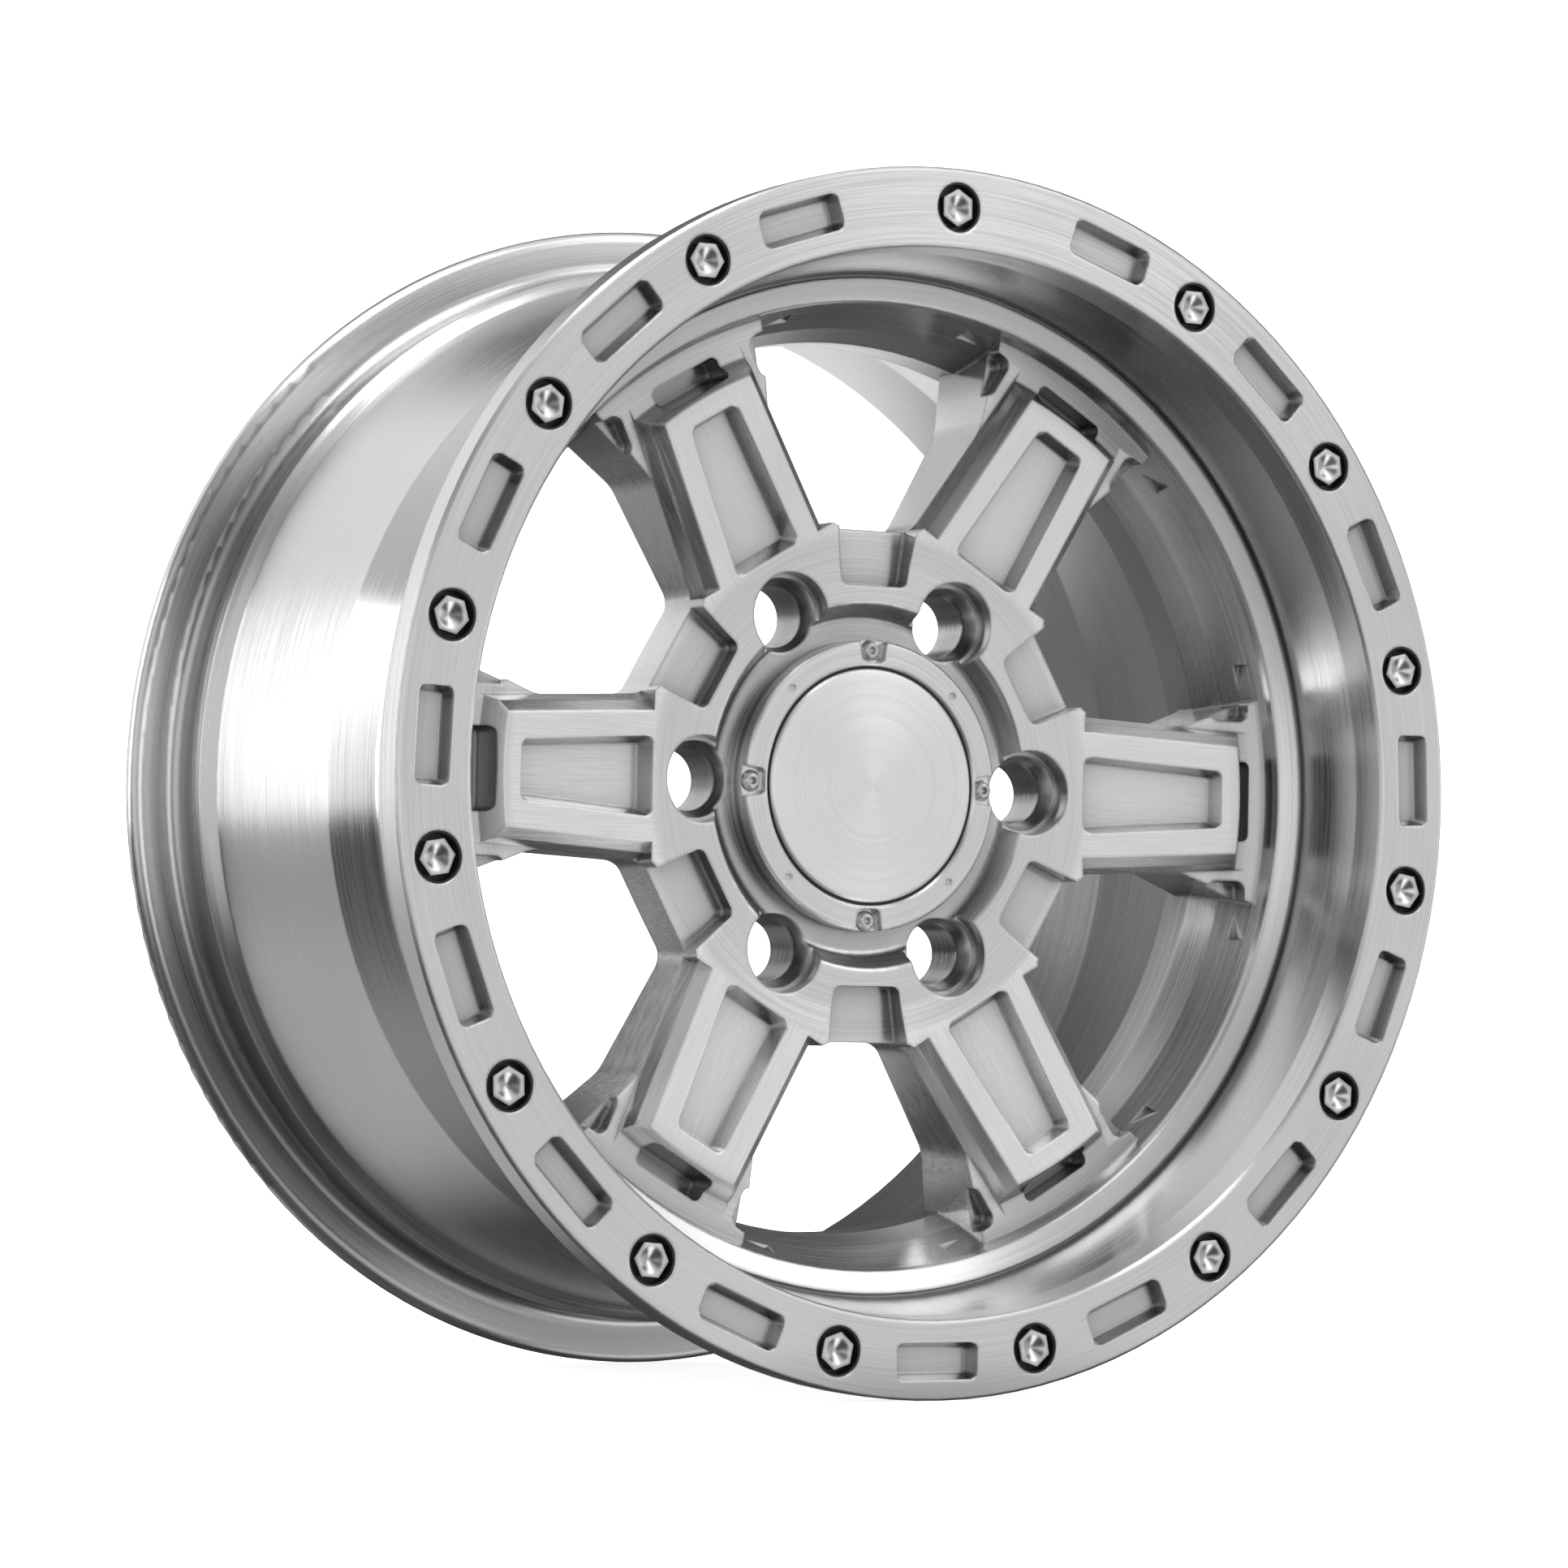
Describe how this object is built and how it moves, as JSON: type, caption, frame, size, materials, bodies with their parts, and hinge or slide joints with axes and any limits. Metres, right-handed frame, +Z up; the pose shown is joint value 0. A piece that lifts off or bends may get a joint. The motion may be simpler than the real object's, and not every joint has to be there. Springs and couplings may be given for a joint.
{
  "type": "forged wheel",
  "caption": "Off-road vehicle wheel, one forged piece with tapered pocketed spokes, deep turned lip, bolt-studded rim ring and a screwed hub cap.",
  "frame": {"origin": "middle of the wheel on its axis, halfway across its whole width", "axes": "+Y along the wheel axis towards the vehicle, -Y out of the dished face, +Z up, top ring bolt upwards"},
  "size_m": [0.4399, 0.2252, 0.44],
  "materials": {
    "wheel_metal": "machined satin",
    "bolt_steel": "bright satin",
    "washer_black": "satin black",
    "bezel_metal": "machined satin",
    "cap_metal": "turned satin",
    "seal_black": "matte black",
    "screw_steel": "satin"
  },
  "bodies": {
    "root": {"forged_wheel": "wheel_metal", "ring_bolts": "bolt_steel", "ring_washers": "washer_black", "cap_bezel": "bezel_metal", "cap_disc": "cap_metal", "cap_seal": "seal_black", "cap_screws": "screw_steel"}
  },
  "joints": []
}
